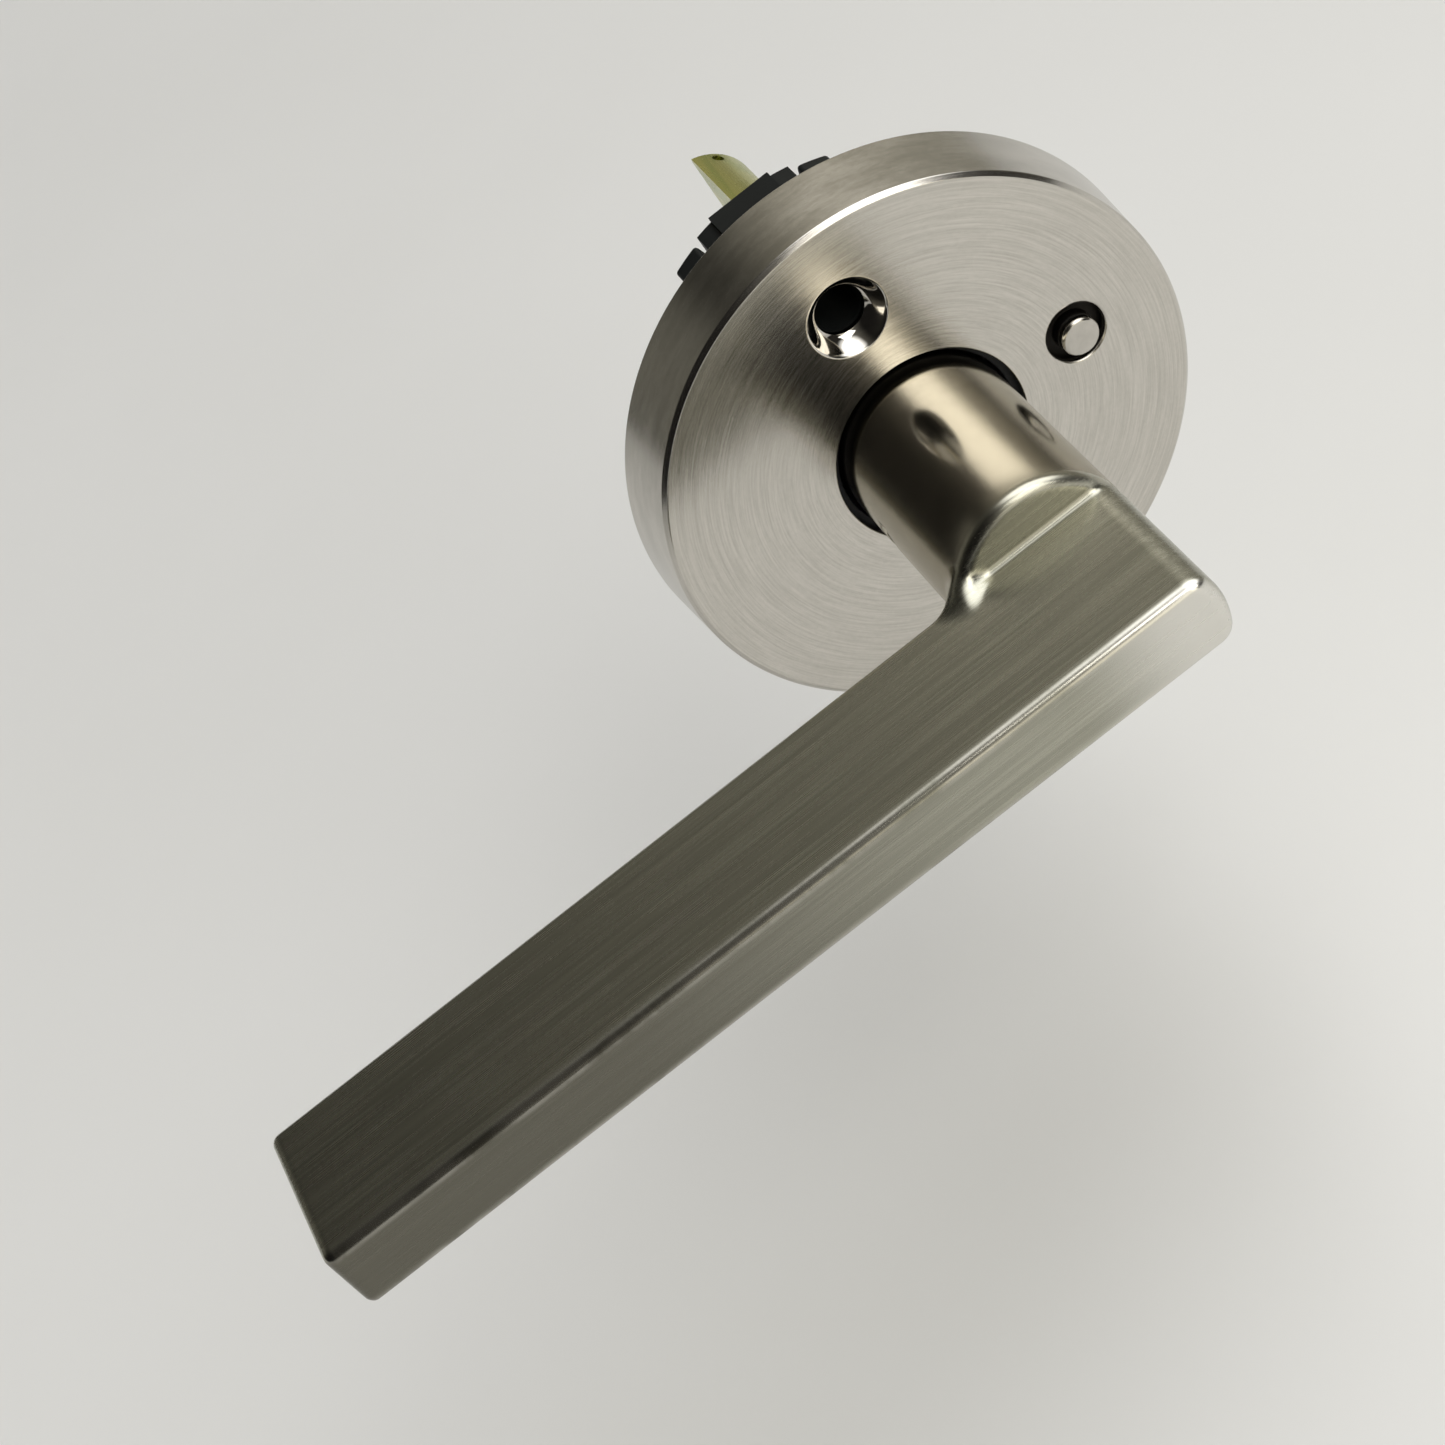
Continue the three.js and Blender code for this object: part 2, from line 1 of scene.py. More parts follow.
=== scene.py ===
# Looks for the room-side half of a privacy lever lockset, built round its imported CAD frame.
# Shapes are modelled in millimetres, in the frame's axes, and scaled to metres as each piece is finished.
import math

import bmesh
import bpy
import numpy as np
from mathutils import Matrix, Vector
from mathutils.geometry import delaunay_2d_cdt


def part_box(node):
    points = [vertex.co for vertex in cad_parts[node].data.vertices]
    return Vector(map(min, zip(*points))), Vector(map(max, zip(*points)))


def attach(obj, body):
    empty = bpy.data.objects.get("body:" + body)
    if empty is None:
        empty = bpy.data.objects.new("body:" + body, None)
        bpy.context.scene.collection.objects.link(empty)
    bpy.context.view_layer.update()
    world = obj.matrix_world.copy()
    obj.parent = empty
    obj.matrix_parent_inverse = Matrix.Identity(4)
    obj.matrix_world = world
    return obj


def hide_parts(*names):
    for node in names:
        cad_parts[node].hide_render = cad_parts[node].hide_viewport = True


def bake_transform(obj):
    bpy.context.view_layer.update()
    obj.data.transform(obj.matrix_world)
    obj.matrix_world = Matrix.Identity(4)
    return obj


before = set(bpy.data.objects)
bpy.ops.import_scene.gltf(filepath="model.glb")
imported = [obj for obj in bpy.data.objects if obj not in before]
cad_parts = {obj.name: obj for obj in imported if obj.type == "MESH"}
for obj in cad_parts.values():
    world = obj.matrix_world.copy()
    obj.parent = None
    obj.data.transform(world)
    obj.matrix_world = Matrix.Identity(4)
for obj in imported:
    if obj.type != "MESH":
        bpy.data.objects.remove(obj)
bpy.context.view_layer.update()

MM = 0.001


def low(node):
    """A CAD node's lowest corner, in millimetres."""
    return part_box(node)[0] / MM


def high(node):
    """A CAD node's highest corner, in millimetres."""
    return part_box(node)[1] / MM


# ---- Sizes, from the frame ----
GAP = 0.3
ROSE_R = high("rose_cover").z
ROSE_FACE = low("rose_cover").y
ROSE_FRONT_R = ROSE_R - 0.75
SHEET = 1.1
ROSE_HOLE_R = 11.9
SCREW_Z = 21.0
SCREW_HOLE_R = 2.95
SINK_R = 4.7
SINK_END = ROSE_FACE + 2.8
BUTTON_X = (low("privacy_button").x + high("privacy_button").x) / 2
BUTTON_TIP = low("privacy_button").y
BUTTON_HOLE_R = 3.6
BUTTON_R = 2.35
COLLAR_R = 4.0

BLADE_TIP = low("lever_handle").x
BLADE_FRONT = low("lever_handle").y
NECK_START = high("lever_handle").y
NECK_R = high("lever_handle").z
NECK_END = BLADE_FRONT + 20.6
NECK_BORE_R = 9.2
NECK_BORE_END = -30.5
BLADE_HALF = 4.75
SET_SCREW_Y = -18.3

RING_R = 26.3
RING_END = high("chassis").y
CHASSIS_R = 31.2
WALL_FRONT = -6.7
WALL_BACK = -5.4
POST_FRONT = -6.9
POST_HALF = 6.5
POST_INNER = 16.5
HUB_WALL_INNER = 12.6
HUB_WALL_OUTER = 14.0
PILLARS = [
    (20.5 * math.cos(math.radians(degrees)), 20.5 * math.sin(math.radians(degrees)))
    for degrees in (62, 118, -62, -118)
]
PLATE_FRONT = low("cover_plate").y
PLATE_BACK = high("cover_plate").y
PLATE_R = 23.9
PLATE_HOLE_R = 1.4
LUG_FROM, LUG_TO = 175, 185
LUG_END = -3.5
RIM_INNER = 29.6
WEB_COUNT = 12
DRIVER_R = 8.9
DRIVER_END = high("spindle_driver").y
CAM_FRONT = -1.9
CAM_BACK = high("cam_plate").y
SPINDLE_R = 7.3
FOOT_FLAT = 2.5
SPINDLE_FLAT = low("spindle").x
SPINDLE_START = low("spindle").y
SPINDLE_END = high("spindle").y
PIN_X = 4.6
PIN_Y = -10.0


# ---- Meshes ----
def new_object(name, mesh):
    """An object for a mesh, in the scene."""
    piece = bpy.data.objects.new(name, mesh)
    bpy.context.scene.collection.objects.link(piece)
    return piece


def object_from_bmesh(name, bm):
    """Closes a bmesh into an object with its faces pointing out."""
    bmesh.ops.recalc_face_normals(bm, faces=bm.faces)
    mesh = bpy.data.meshes.new(name)
    bm.to_mesh(mesh)
    bm.free()
    return new_object(name, mesh)


def loop_at(bm, x, z, radius, y, count, angle=0.0):
    """A ring of vertices about a line along Y, or one vertex where the radius is 0."""
    if radius == 0:
        return [bm.verts.new((x, y, z))]
    steps = [angle + 2 * math.pi * i / count for i in range(count)]
    return [bm.verts.new((x + radius * math.cos(a), y, z + radius * math.sin(a))) for a in steps]


def strip(bm, first, second):
    """Faces between two rings. A ring of one vertex is a point on the axis."""
    count = max(len(first), len(second))
    for i in range(count):
        j = (i + 1) % count
        near = [first[i % len(first)], first[j % len(first)]]
        corners = near + [second[j % len(second)], second[i % len(second)]]
        bm.faces.new(list(dict.fromkeys(corners)))


def rounded(points, radii, steps=4):
    """A closed outline with its corners rounded. A radius of 0 leaves a corner sharp."""
    out = []
    for i, (here, radius) in enumerate(zip(points, radii)):
        here = Vector(here)
        before = (Vector(points[i - 1]) - here).normalized()
        after = (Vector(points[(i + 1) % len(points)]) - here).normalized()
        if radius == 0:
            out.append(tuple(here))
            continue
        half = before.angle(after) / 2
        reach = radius / math.tan(half)
        centre = here + (before + after).normalized() * (radius / math.sin(half))
        start = here + before * reach - centre
        sweep = start.angle_signed(here + after * reach - centre)
        for k in range(steps + 1):
            turn = Matrix.Rotation(-sweep * k / steps, 2)
            out.append(tuple(centre + turn @ start))
    return out


def turned(name, outline, count=96, x=0.0, z=0.0):
    """A solid turned about a line along Y, from a closed outline of (radius, y)."""
    bm = bmesh.new()
    loops = [loop_at(bm, x, z, max(r, 0.0), y, count) for r, y in outline]
    closed = outline[0][0] > 0 or outline[-1][0] > 0
    for first, second in zip(loops, loops[1:] + (loops[:1] if closed else [])):
        strip(bm, first, second)
    return object_from_bmesh(name, bm)


def rod(name, radius, y0, y1, count=96, x=0.0, z=0.0, edge=0.0):
    """A round bar along Y, with an optional rounded edge at both ends."""
    outline = [(0, y0), (radius, y0), (radius, y1), (0, y1)]
    return turned(name, rounded(outline, [0, edge, edge, 0]), count, x, z)


def ring(name, inner, outer, y0, y1, count=96, edge=0.0):
    """A round ring about the spindle axis."""
    outline = [(inner, y0), (outer, y0), (outer, y1), (inner, y1)]
    return turned(name, rounded(outline, [edge] * 4), count)


def block(name, x0, x1, y0, y1, z0, z1):
    """A box."""
    bm = bmesh.new()
    bmesh.ops.create_cube(bm, size=1)
    centre = Vector(((x0 + x1) / 2, (y0 + y1) / 2, (z0 + z1) / 2))
    size = Matrix.Diagonal((x1 - x0, y1 - y0, z1 - z0, 1))
    bm.transform(Matrix.Translation(centre) @ size)
    return object_from_bmesh(name, bm)


def prism(name, outline, y0, y1):
    """An outline of (x, z) carried along Y."""
    bm = bmesh.new()
    front = [bm.verts.new((x, y0, z)) for x, z in outline]
    back = [bm.verts.new((x, y1, z)) for x, z in outline]
    strip(bm, front, back)
    bm.faces.new(front)
    bm.faces.new(back)
    return object_from_bmesh(name, bm)


def sector_outline(inner, outer, from_degrees, to_degrees, steps=16):
    """The outline of a ring sector, in X and Z."""
    angles = [math.radians(from_degrees + (to_degrees - from_degrees) * i / steps) for i in range(steps + 1)]
    outside = [(outer * math.cos(a), outer * math.sin(a)) for a in angles]
    inside = [(inner * math.cos(a), inner * math.sin(a)) for a in reversed(angles)]
    return outside + inside


def half_round_outline(radius, flat, steps=40):
    """The outline of a round bar cut by a flat that faces -X."""
    end = math.acos(flat / radius)
    angles = [-end + 2 * end * i / steps for i in range(steps + 1)]
    return [(radius * math.cos(a), radius * math.sin(a)) for a in angles]


def baked(piece):
    """Turns a piece's modifiers into mesh."""
    graph = bpy.context.evaluated_depsgraph_get()
    mesh = bpy.data.meshes.new_from_object(piece.evaluated_get(graph))
    piece.modifiers.clear()
    old = piece.data
    piece.data = mesh
    bpy.data.meshes.remove(old)
    return piece


def combine(piece, others, operation):
    """Joins, cuts or meets a piece with others, which are used up."""
    for other in others:
        modifier = piece.modifiers.new("combine", "BOOLEAN")
        modifier.object = other
        modifier.operation = operation
        modifier.solver = "MANIFOLD"
        baked(piece)
        bpy.data.objects.remove(other)
    return piece


def join(piece, *others):
    """Joins others onto a piece."""
    return combine(piece, others, "UNION")


def cut(piece, *others):
    """Cuts others out of a piece."""
    return combine(piece, others, "DIFFERENCE")


def meet(piece, *others):
    """Keeps what a piece and others share."""
    return combine(piece, others, "INTERSECT")


def bevelled(piece, width, segments=2, angle=35.0):
    """Rounds every edge sharper than the angle."""
    modifier = piece.modifiers.new("edges", "BEVEL")
    modifier.width = width
    modifier.segments = segments
    modifier.limit_method = "ANGLE"
    modifier.angle_limit = math.radians(angle)
    modifier.use_clamp_overlap = True
    return baked(piece)


def wire_mesh(name, points, radius, sides=12):
    """A round wire along a line of points, with flat ends."""
    path = [Vector(p) for p in points]
    bm = bmesh.new()
    side = None
    loops = []
    for i, here in enumerate(path):
        ahead = (path[min(i + 1, len(path) - 1)] - path[max(i - 1, 0)]).normalized()
        side = ahead.orthogonal() if side is None else side - ahead * side.dot(ahead)
        side.normalize()
        up = ahead.cross(side)
        angles = [2 * math.pi * k / sides for k in range(sides)]
        loops.append([bm.verts.new(here + radius * (side * math.cos(a) + up * math.sin(a))) for a in angles])
    for first, second in zip(loops, loops[1:]):
        strip(bm, first, second)
    bm.faces.new(loops[0])
    bm.faces.new(loops[-1])
    return object_from_bmesh(name, bm)


def placed(piece, material, slot, body, *nodes, smooth=32.0):
    """Scales a finished piece to metres, shades it, sets what it rides on, and hides the CAD nodes it takes
    the place of.
    """
    piece.data.transform(Matrix.Scale(MM, 4))
    piece.data.materials.clear()
    piece.data.materials.append(material)
    if smooth:
        piece.data.shade_smooth()
        piece.data.set_sharp_from_angle(angle=math.radians(smooth))
        modifier = piece.modifiers.new("normals", "WEIGHTED_NORMAL")
        modifier.keep_sharp = True
        modifier.weight = 80
    if body:
        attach(piece, body)
    if nodes:
        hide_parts(*nodes)
    return piece


# ---- Material building ----
class Nodes:
    """Short ways to add nodes to a tree. self.place is the coordinate the patterns use."""

    def __init__(self, tree, coordinate):
        self.tree = tree
        self.place = self.node("ShaderNodeTexCoord").outputs[coordinate]
        split = self.node("ShaderNodeSeparateXYZ")
        self.link(self.place, split.inputs[0])
        self.x, self.y, self.z = split.outputs

    def node(self, kind, **settings):
        made = self.tree.nodes.new(kind)
        for key, value in settings.items():
            setattr(made, key, value)
        return made

    def link(self, source, target):
        self.tree.links.new(source, target)

    def put(self, value, target):
        """Gives a socket a number, a colour or a link."""
        if isinstance(value, (int, float)):
            target.default_value = value
        elif isinstance(value, tuple):
            target.default_value = (*value, 1)
        else:
            self.link(value, target)

    def math(self, operation, *values):
        made = self.node("ShaderNodeMath", operation=operation)
        for value, target in zip(values, made.inputs):
            self.put(value, target)
        return made.outputs[0]

    def add(self, *values):
        total = values[0]
        for value in values[1:]:
            total = self.math("ADD", total, value)
        return total

    def times(self, first, second):
        return self.math("MULTIPLY", first, second)

    def rest(self, value):
        return self.math("SUBTRACT", 1.0, value)

    def between(self, value, start, end, low_value=0.0, high_value=1.0):
        """Maps value from start..end to low_value..high_value, smoothly and held at the ends."""
        made = self.node("ShaderNodeMapRange", interpolation_type="SMOOTHSTEP")
        for item, target in zip((value, start, end, low_value, high_value), made.inputs):
            self.put(item, target)
        return made.outputs[0]

    def vector(self, x, y, z):
        made = self.node("ShaderNodeCombineXYZ")
        for value, target in zip((x, y, z), made.inputs):
            self.put(value, target)
        return made.outputs[0]

    def stretched(self, x, y, z):
        """The place, scaled by its own amount along each axis."""
        return self.vector(self.times(self.x, x), self.times(self.y, y), self.times(self.z, z))

    def noise(self, place, scale=1.0, detail=3.0, rough=0.55, distortion=0.0):
        made = self.node("ShaderNodeTexNoise")
        self.link(place, made.inputs["Vector"])
        made.inputs["Scale"].default_value = scale
        made.inputs["Detail"].default_value = detail
        made.inputs["Roughness"].default_value = rough
        made.inputs["Distortion"].default_value = distortion
        return made.outputs["Fac"]

    def mix(self, share, first, second):
        """A colour between two others. Each is a colour or a socket."""
        made = self.node("ShaderNodeMix", data_type="RGBA")
        for value, target in ((share, made.inputs[0]), (first, made.inputs[6]), (second, made.inputs[7])):
            self.put(value, target)
        return made.outputs[2]

    def blend(self, share, first, second):
        """A number between two others."""
        made = self.node("ShaderNodeMix", data_type="FLOAT")
        for value, target in ((share, made.inputs[0]), (first, made.inputs[2]), (second, made.inputs[3])):
            self.put(value, target)
        return made.outputs[0]


class Look(Nodes):
    """A node material."""

    def __init__(self, name, colour, metallic, roughness):
        self.material = bpy.data.materials.new(name)
        self.material.use_nodes = True
        super().__init__(self.material.node_tree, "Object")
        self.shader = self.tree.nodes["Principled BSDF"]
        self.set("Base Color", (*colour, 1))
        self.set("Metallic", metallic)
        self.set("Roughness", roughness)

    def set(self, socket, value):
        self.shader.inputs[socket].default_value = value

    def colour(self, source):
        self.link(source, self.shader.inputs["Base Color"])

    def roughness(self, source):
        self.link(source, self.shader.inputs["Roughness"])

    def bump(self, height, depth, strength=1.0):
        """Relief of this depth in metres for a height from 0 to 1."""
        made = self.node("ShaderNodeBump")
        made.inputs["Strength"].default_value = strength
        made.inputs["Distance"].default_value = depth
        self.link(height, made.inputs["Height"])
        self.link(made.outputs[0], self.shader.inputs["Normal"])

    def brushed_across(self, tangent, amount):
        """Spreads highlights at right angles to a tangent, as scratches along it do."""
        self.set("Anisotropic", amount)
        self.set("Anisotropic Rotation", 0.25)
        self.link(tangent, self.shader.inputs["Tangent"])

    def radius(self, x0=0.0, z0=0.0):
        """Distance from a line along Y, in metres."""
        dx = self.math("SUBTRACT", self.x, x0)
        dz = self.math("SUBTRACT", self.z, z0)
        return self.math("SQRT", self.add(self.times(dx, dx), self.times(dz, dz)))


def satin_rose():
    """Satin nickel brushed in fine circles, with polished countersinks."""
    look = Look("satin_nickel_rose", (0.58, 0.555, 0.51), 1.0, 0.25)
    radius = look.radius()
    across = look.math("DIVIDE", look.x, radius)
    upright = look.math("DIVIDE", look.z, radius)
    fine = look.noise(look.vector(
        look.times(radius, 4200),
        look.times(across, 3.0),
        look.times(upright, 3.0),
    ), detail=4, rough=0.7)
    broad = look.noise(look.vector(
        look.times(radius, 650),
        look.times(across, 1.6),
        look.times(upright, 1.6),
    ), detail=2)
    grain = look.noise(look.place, scale=1500, detail=3, rough=0.7)
    from_screw = look.math("SUBTRACT", look.math("ABSOLUTE", look.z), SCREW_Z * MM)
    from_sink = look.math("SQRT", look.add(look.times(look.x, look.x), look.times(from_screw, from_screw)))
    satin_share = look.between(from_sink, (SINK_R - 0.05) * MM, (SINK_R + 0.2) * MM)
    satin = look.add(look.times(fine, 0.15), look.times(broad, 0.08), look.times(grain, 0.04), 0.075)
    look.roughness(look.blend(satin_share, 0.07, satin))
    shade = look.add(look.times(fine, 0.8), look.times(grain, 0.2))
    look.colour(look.mix(look.between(shade, 0.3, 0.7), (0.47, 0.45, 0.41), (0.62, 0.594, 0.548)))
    relief = look.add(look.times(fine, 1.0), look.times(grain, 0.35))
    look.bump(look.times(relief, satin_share), 0.000010, 0.7)
    circles = look.node("ShaderNodeTangent", direction_type="RADIAL", axis="Y")
    look.brushed_across(circles.outputs[0], 0.55)
    return look.material


def satin_lever():
    """Satin nickel brushed along the blade, glossier on the round neck, with light wear on the long edges."""
    look = Look("satin_nickel_lever", (0.42, 0.405, 0.35), 1.0, 0.3)
    streaks = look.noise(look.stretched(40, 4200, 4200), detail=3, rough=0.65)
    lines = look.noise(look.stretched(12, 900, 900), detail=2)
    cloud = look.noise(look.place, scale=110, detail=4, rough=0.6, distortion=0.4)
    grain = look.noise(look.place, scale=1900, detail=2)
    on_neck = look.between(look.y, (NECK_END + 0.1) * MM, (NECK_END + 2.2) * MM)
    on_blade = look.rest(on_neck)
    beside = look.math("SUBTRACT", look.math("ABSOLUTE", look.z), BLADE_HALF * MM)
    ahead = look.math("SUBTRACT", look.y, BLADE_FRONT * MM)
    from_edge = look.math("SQRT", look.add(look.times(beside, beside), look.times(ahead, ahead)))
    worn = look.times(look.between(from_edge, 0.4 * MM, 1.6 * MM, 1.0, 0.0), look.between(cloud, 0.38, 0.6))
    blade = look.add(look.times(streaks, 0.12), look.times(cloud, 0.03), look.times(worn, -0.08), 0.19)
    neck = look.add(look.times(cloud, 0.05), look.times(grain, 0.03), 0.11)
    look.roughness(look.blend(on_neck, blade, neck))
    shade = look.between(look.add(look.times(streaks, 0.5), look.times(lines, 0.5)), 0.36, 0.64)
    brushed = look.mix(shade, (0.33, 0.325, 0.27), (0.42, 0.412, 0.345))
    # The front face's shading is painted here: darker toward the tip and lighter at the head.
    # It stands in for what the real face reflects, and isn't wear.
    on_front = look.between(ahead, 0.3 * MM, 1.3 * MM, 1.0, 0.0)
    dimmed = look.times(on_front, look.between(look.x, -70 * MM, -8 * MM, 0.85, 0.0))
    brushed = look.mix(dimmed, brushed, (0.115, 0.108, 0.088))
    lifted = look.times(on_front, look.between(look.x, -9 * MM, 7 * MM, 0.0, 0.9))
    brushed = look.mix(lifted, brushed, (0.74, 0.725, 0.68))
    brushed = look.mix(look.times(worn, 0.7), brushed, (0.62, 0.60, 0.54))
    look.colour(look.mix(on_neck, brushed, (0.47, 0.44, 0.365)))
    relief = look.add(look.times(streaks, 0.8), look.times(grain, 0.4))
    look.bump(look.times(relief, on_blade), 0.000012, 0.6)
    along = look.node(
        "ShaderNodeVectorTransform",
        vector_type="VECTOR",
        convert_from="OBJECT",
        convert_to="WORLD",
    )
    look.link(look.vector(on_blade, on_neck, 0.0), along.inputs[0])
    look.brushed_across(along.outputs[0], 0.5)
    return look.material


def polished_nickel():
    """Smooth nickel with the faint rings of turning, near black and dull from just behind the tip, over the
    collar and shank.
    """
    look = Look("polished_nickel", (0.74, 0.71, 0.66), 1.0, 0.2)
    rings = look.noise(look.vector(look.times(look.radius(BUTTON_X * MM), 6000), 0.0, 0.0), detail=2)
    spots = look.noise(look.place, scale=900, detail=3)
    polish = look.add(look.times(rings, 0.12), look.times(spots, 0.2), 0.02)
    # Near black and dull from just behind the tip on, over the collar and shank that sit down in the hole.
    dark_collar_and_shank = look.between(look.y, (BUTTON_TIP + 0.7) * MM, (BUTTON_TIP + 1.5) * MM)
    look.roughness(look.blend(dark_collar_and_shank, polish, 0.55))
    bright = look.mix(spots, (0.42, 0.40, 0.365), (0.58, 0.555, 0.51))
    look.colour(look.mix(dark_collar_and_shank, bright, (0.022, 0.02, 0.018)))
    look.bump(rings, 0.000008, 0.5)
    return look.material


def nylon(name, colour, roughness):
    """Moulded nylon with a fine spark texture and slight flow marks."""
    look = Look(name, colour, 0.0, roughness)
    look.set("Specular IOR Level", 0.12)
    spark = look.noise(look.place, scale=1900, detail=3, rough=0.7)
    flow = look.noise(look.place, scale=90, detail=2, distortion=1.2)
    lighter = tuple(c * 1.8 + 0.002 for c in colour)
    look.colour(look.mix(flow, colour, lighter))
    look.roughness(look.add(look.times(spark, 0.22), roughness - 0.1))
    look.bump(spark, 0.00003, 0.5)
    return look.material


def yellow_zinc():
    """Yellow chromate over zinc: green-gold with drifts of pink and grey."""
    look = Look("yellow_zinc", (0.62, 0.60, 0.28), 1.0, 0.3)
    drift = look.noise(look.stretched(170, 45, 170), detail=3, distortion=0.8)
    fine = look.noise(look.place, scale=700, detail=4, rough=0.65)
    pull = look.noise(look.stretched(2600, 60, 2600), detail=2)
    gold = look.mix(look.between(drift, 0.35, 0.55), (0.30, 0.35, 0.085), (0.45, 0.44, 0.13))
    gold = look.mix(look.between(drift, 0.58, 0.78), gold, (0.42, 0.35, 0.27))
    look.colour(look.mix(look.times(fine, 0.3), gold, (0.30, 0.31, 0.19)))
    look.roughness(look.add(look.times(fine, 0.16), look.times(pull, 0.2), 0.08))
    look.bump(pull, 0.00001, 0.6)
    return look.material


def plated_steel(name, colour, roughness, spread):
    """Zinc plated steel: cloudy, with fine scratches every way."""
    look = Look(name, colour, 1.0, roughness)
    cloud = look.noise(look.place, scale=260, detail=5, rough=0.65)
    scuff = look.noise(look.place, scale=1500, detail=3, rough=0.7, distortion=2.0)
    darker = tuple(c * 0.72 for c in colour)
    look.colour(look.mix(cloud, darker, colour))
    look.roughness(look.add(look.times(scuff, spread), look.times(cloud, 0.12), roughness - 0.16))
    look.bump(scuff, 0.00001, 0.5)
    return look.material


def floor_paint():
    """Plain pale surface with a trace of unevenness."""
    look = Look("floor_paint", (0.80, 0.80, 0.79), 0.0, 0.55)
    cloud = look.noise(look.place, scale=9, detail=4)
    look.colour(look.mix(cloud, (0.79, 0.79, 0.775), (0.83, 0.83, 0.82)))
    look.roughness(look.add(look.times(cloud, 0.15), 0.48))
    return look.material


# ---- Rose ----
def flat_region(bm, outside, holes):
    """Fills the flat space between an outer ring of vertices and the rings of its holes."""
    loops = [outside, *[hole for hole, _, _ in holes]]
    verts = [v for loop in loops for v in loop]
    edges = []
    start = 0
    for loop in loops:
        edges += [(start + i, start + (i + 1) % len(loop)) for i in range(len(loop))]
        start += len(loop)
    places = [Vector((v.co.x, v.co.z)) for v in verts]
    found = delaunay_2d_cdt(places, edges, [], 0, 1e-7, True)
    source = [ids[0] for ids in found[3]]
    for face in found[2]:
        corners = [verts[source[i]] for i in face]
        middle = sum((v.co for v in corners), Vector()) / len(corners)
        flat_middle = Vector((middle.x, middle.z))
        if all((flat_middle - centre).length > radius * 0.999 for _, centre, radius in holes):
            bm.faces.new(corners)


def lip(radius, y, direction, size, steps=4):
    """A quarter round from a flat face at y into a hole of this radius. direction is +1 into +Y."""
    angles = [math.pi / 2 * i / steps for i in range(steps + 1)]
    return [(radius + size * (1 - math.sin(a)), y + direction * size * (1 - math.cos(a))) for a in angles]


def countersink(inner_face):
    """A formed countersink's profile: rolled lip, bowl, screw hole, and back to the inner face."""
    sink = lip(SINK_R - 0.1, ROSE_FACE, 1, 0.35, 6)[:-2]
    top_r, top_y = sink[-1]
    bowl_end = SINK_END - 0.6
    for i in range(1, 11):
        share = i / 10
        radius = top_r + (SCREW_HOLE_R + 0.06 - top_r) * share
        sink.append((radius, top_y + (bowl_end - top_y) * (1 - (1 - share) ** 1.35)))
    return sink + [
        (SCREW_HOLE_R, SINK_END - 0.45),
        (SCREW_HOLE_R, SINK_END - 0.1),
        (SCREW_HOLE_R + 0.1, SINK_END),
        (SCREW_HOLE_R + 0.9, SINK_END),
        (SCREW_HOLE_R + 1.1, SINK_END - 0.15),
        (SINK_R + 0.9, inner_face + 0.35),
        (SINK_R + 1.3, inner_face + 0.08),
        (SINK_R + 1.7, inner_face),
    ]


def plain_hole(radius, inner_face, front_lip):
    """The profile of a hole through the cover's sheet, rounded at both faces."""
    return lip(radius, ROSE_FACE, 1, front_lip) + lip(radius, inner_face, -1, 0.2)[::-1]


def rose_cover():
    """A pressed cover: flat face, tapered side, two formed countersinks, neck hole and button hole."""
    inner_face = ROSE_FACE + SHEET
    edge = 0.5
    section = [
        (ROSE_FRONT_R - edge, ROSE_FACE),
        (ROSE_FRONT_R, ROSE_FACE + edge),
        (ROSE_R, 0.0),
        (ROSE_R - SHEET, 0.0),
        (ROSE_FRONT_R - SHEET, inner_face),
        (ROSE_FRONT_R - 6.0, inner_face),
        (ROSE_FRONT_R - 6.0, ROSE_FACE),
    ]
    side = rounded(section, [0.25, 0.25, 0.2, 0.2, 1.2, 0, 0])[:-2]
    holes = [
        (Vector((0, 0)), 144, plain_hole(ROSE_HOLE_R, inner_face, 0.14)),
        (Vector((BUTTON_X, 0)), 64, plain_hole(BUTTON_HOLE_R, inner_face, 0.45)),
    ]
    sink = countersink(inner_face)
    holes += [(Vector((0, SCREW_Z)), 72, sink), (Vector((0, -SCREW_Z)), 72, sink)]
    bm = bmesh.new()
    side_loops = [loop_at(bm, 0, 0, r, y, 216) for r, y in side]
    for first, second in zip(side_loops, side_loops[1:]):
        strip(bm, first, second)
    front, back = [], []
    for centre, count, profile in holes:
        loops = [loop_at(bm, centre.x, centre.y, r, y, count) for r, y in profile]
        for first, second in zip(loops, loops[1:]):
            strip(bm, first, second)
        front.append((loops[0], centre, profile[0][0]))
        back.append((loops[-1], centre, profile[-1][0]))
    flat_region(bm, side_loops[0], front)
    flat_region(bm, side_loops[-1], back)
    return object_from_bmesh("rose_cover_fine", bm)


# ---- Lever ----
def meet_round(a, b, radius):
    """The solid inside both a and b, its new edge rounded."""
    u, v = a + radius, b + radius
    return np.minimum(np.maximum(u, v), 0) + np.hypot(np.maximum(u, 0), np.maximum(v, 0)) - radius


def join_round(a, b, radius):
    """The solid inside a or b, the corner between them filled to the radius."""
    u, v = radius - a, radius - b
    return np.maximum(np.minimum(a, b), radius) - np.hypot(np.maximum(u, 0), np.maximum(v, 0))


